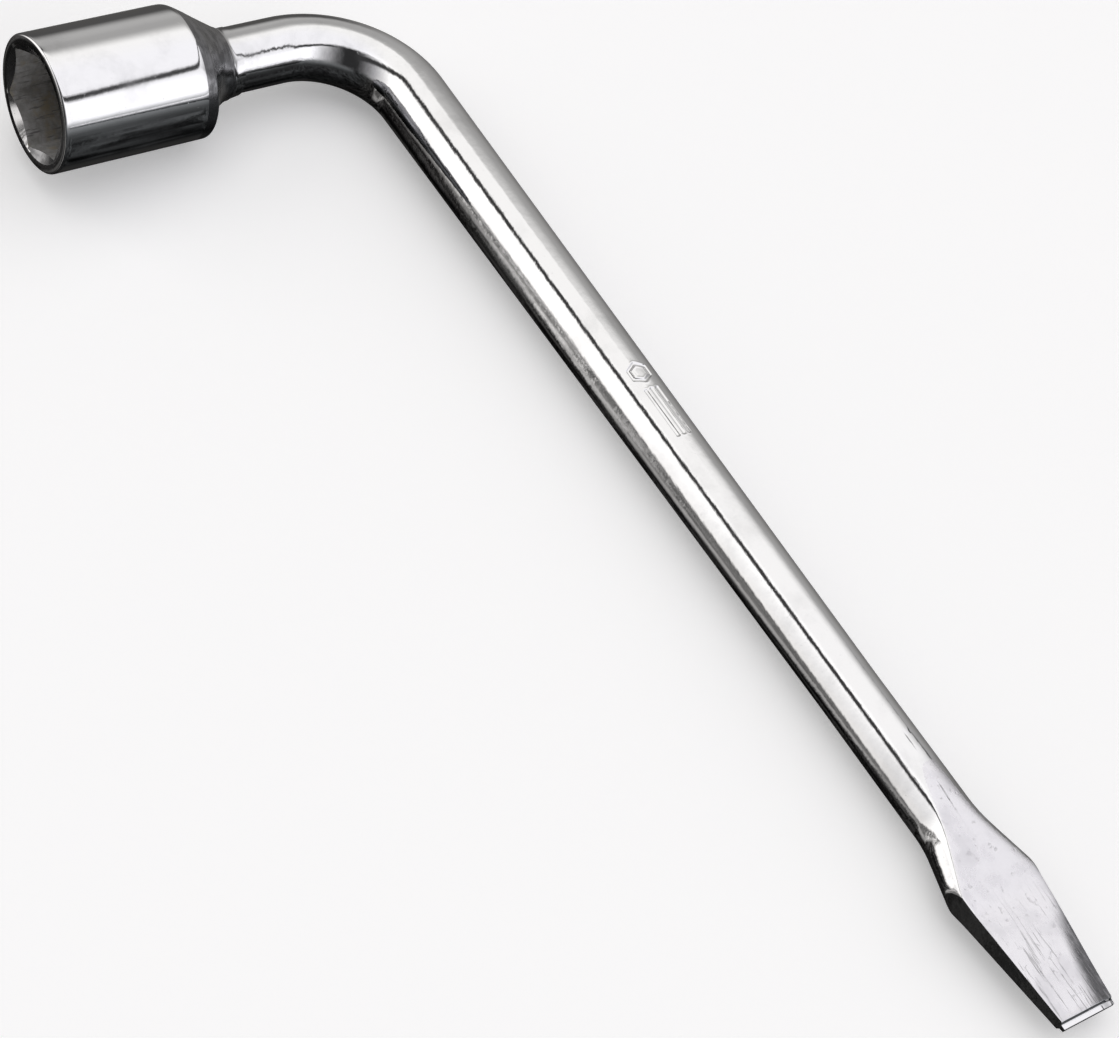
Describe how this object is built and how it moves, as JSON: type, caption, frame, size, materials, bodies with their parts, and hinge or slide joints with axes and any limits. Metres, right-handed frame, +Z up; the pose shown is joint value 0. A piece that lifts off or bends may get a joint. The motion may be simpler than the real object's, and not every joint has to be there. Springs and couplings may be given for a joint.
{
  "type": "lug wrench",
  "caption": "L-shaped lug wrench: a hex socket welded to a bent tapering bar whose far end is flattened into a pry blade.",
  "frame": {"origin": "centre of the bounding box's footprint, on the bench that the wrench lies on", "axes": "+X along the long arm towards the pry tip, +Z up off the bench; the socket's mouth faces -Y and tips up by 8.2 degrees, because the wrench rests on its long arm and on the edge of the socket's shoulder"},
  "size_m": [0.3042, 0.0982, 0.0367],
  "materials": {
    "socket_chrome": "polished chrome plate outside, rough and dull inside the hex well",
    "bar_chrome": "polished chrome plate over a drawn bar, with a ground satin blade",
    "weld_chrome": "chrome plate over a dressed weld, duller than the bar"
  },
  "bodies": {
    "root": {"socket": "socket_chrome", "handle_bar": "bar_chrome", "weld_bead": "weld_chrome"}
  },
  "joints": []
}
